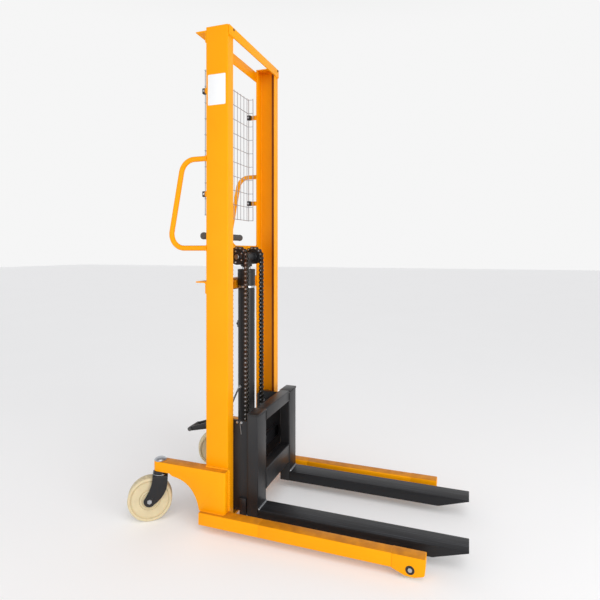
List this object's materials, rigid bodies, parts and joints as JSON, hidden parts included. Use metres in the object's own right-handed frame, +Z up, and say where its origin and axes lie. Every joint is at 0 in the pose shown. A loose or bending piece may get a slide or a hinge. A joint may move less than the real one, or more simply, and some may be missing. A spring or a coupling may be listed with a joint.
{
  "type": "hand pallet stacker",
  "caption": "Walk-behind pallet stacker: an open channel mast with a hand-pumped lift cylinder, chain-hung forks, straddle legs on rollers and rear swivel casters.",
  "frame": {"origin": "centre of the truck's footprint on the floor, forks lowered", "axes": "+X along the forks away from the operator, +Y to the operator's left, +Z up"},
  "size_m": [1.3556, 0.6924, 2.05],
  "materials": {
    "orange_paint": "semi-gloss orange powder coat",
    "black_paint": "satin black paint",
    "cream_nylon": "cast cream nylon",
    "zinc_wire": "bright zinc plate",
    "chrome_rod": "ground hard chrome",
    "chain_steel": "oiled dark chain steel",
    "grip_rubber": "matt black grips on a black lever"
  },
  "bodies": {
    "frame": {"mesh_guard": "zinc_wire", "right_handle": "orange_paint", "left_handle": "orange_paint", "oil_pipe": "zinc_wire", "pump_body": "black_paint", "foot_pedal": "black_paint", "cylinder_head": "black_paint", "right_caster_bracket": "orange_paint", "left_caster_bracket": "orange_paint", "cylinder_barrel": "black_paint", "right_leg": "orange_paint", "left_leg": "orange_paint", "right_upright": "orange_paint", "left_upright": "orange_paint", "base_plate": "orange_paint", "top_rear_angle": "orange_paint", "cylinder_clamp_angle": "orange_paint", "right_rear_chain": "chain_steel", "left_rear_chain": "chain_steel", "top_front_bar": "orange_paint", "upper_rear_plate": "orange_paint"},
    "carriage": {"right_side_plate": "black_paint", "right_fork_post": "black_paint", "right_fork": "black_paint", "right_front_chain": "chain_steel", "left_side_plate": "black_paint", "left_fork_post": "black_paint", "left_fork": "black_paint", "left_front_chain": "chain_steel", "upper_crossbar": "black_paint", "lower_crossbar": "black_paint", "chain_anchor_bar": "black_paint"},
    "piston": {"piston_rod": "chrome_rod", "wheel_yoke": "black_paint", "right_chain_bend": "chain_steel", "left_chain_bend": "chain_steel"},
    "chain_wheels": {"right_chain_wheel": "black_paint", "left_chain_wheel": "black_paint"},
    "pump_handle": {"pump_handle": "grip_rubber"},
    "right_caster": {"right_caster_fork": "black_paint"},
    "right_caster_wheel": {"right_caster_wheel": "cream_nylon"},
    "right_load_roller": {"right_load_roller": "cream_nylon"},
    "left_caster": {"left_caster_fork": "black_paint"},
    "left_caster_wheel": {"left_caster_wheel": "cream_nylon"},
    "left_load_roller": {"left_load_roller": "cream_nylon"}
  },
  "joints": [
    {"name": "lift", "type": "slide", "parent": "frame", "child": "carriage", "axis": [0, 0, 1], "range_m": [0, 1.562], "deforming": ["right_front_chain", "left_front_chain"]},
    {"name": "piston_rise", "type": "slide", "parent": "frame", "child": "piston", "axis": [0, 0, 1], "range_m": [0, 0.781]},
    {"name": "chain_wheel_spin", "type": "hinge", "parent": "piston", "child": "chain_wheels", "pos_m": [-0.28922, 0.02191, 1.105], "axis": [0, 1, 0], "continuous": true},
    {"name": "pump_stroke", "type": "hinge", "parent": "frame", "child": "pump_handle", "pos_m": [-0.41822, 0.02191, 0.332], "axis": [0, -1, 0], "range_deg": [0, 55]},
    {"name": "right_caster_swivel", "type": "hinge", "parent": "frame", "child": "right_caster", "pos_m": [-0.55722, -0.25609, 0.206], "axis": [0, 0, 1], "continuous": true},
    {"name": "right_caster_spin", "type": "hinge", "parent": "right_caster", "child": "right_caster_wheel", "pos_m": [-0.59224, -0.27927, 0.09], "axis": [-0.5519, 0.8339, 0], "continuous": true},
    {"name": "right_load_roller_spin", "type": "hinge", "parent": "frame", "child": "right_load_roller", "pos_m": [0.48578, -0.27339, 0.035], "axis": [0, 1, 0], "continuous": true},
    {"name": "left_caster_swivel", "type": "hinge", "parent": "frame", "child": "left_caster", "pos_m": [-0.55722, 0.29991, 0.206], "axis": [0, 0, 1], "continuous": true},
    {"name": "left_caster_spin", "type": "hinge", "parent": "left_caster", "child": "left_caster_wheel", "pos_m": [-0.59224, 0.27672, 0.09], "axis": [-0.5519, 0.8339, 0], "continuous": true},
    {"name": "left_load_roller_spin", "type": "hinge", "parent": "frame", "child": "left_load_roller", "pos_m": [0.48578, 0.31721, 0.035], "axis": [0, 1, 0], "continuous": true}
  ],
  "couplings": [
    {"joint": "piston_rise", "follows": "lift", "ratio": 0.5}
  ]
}
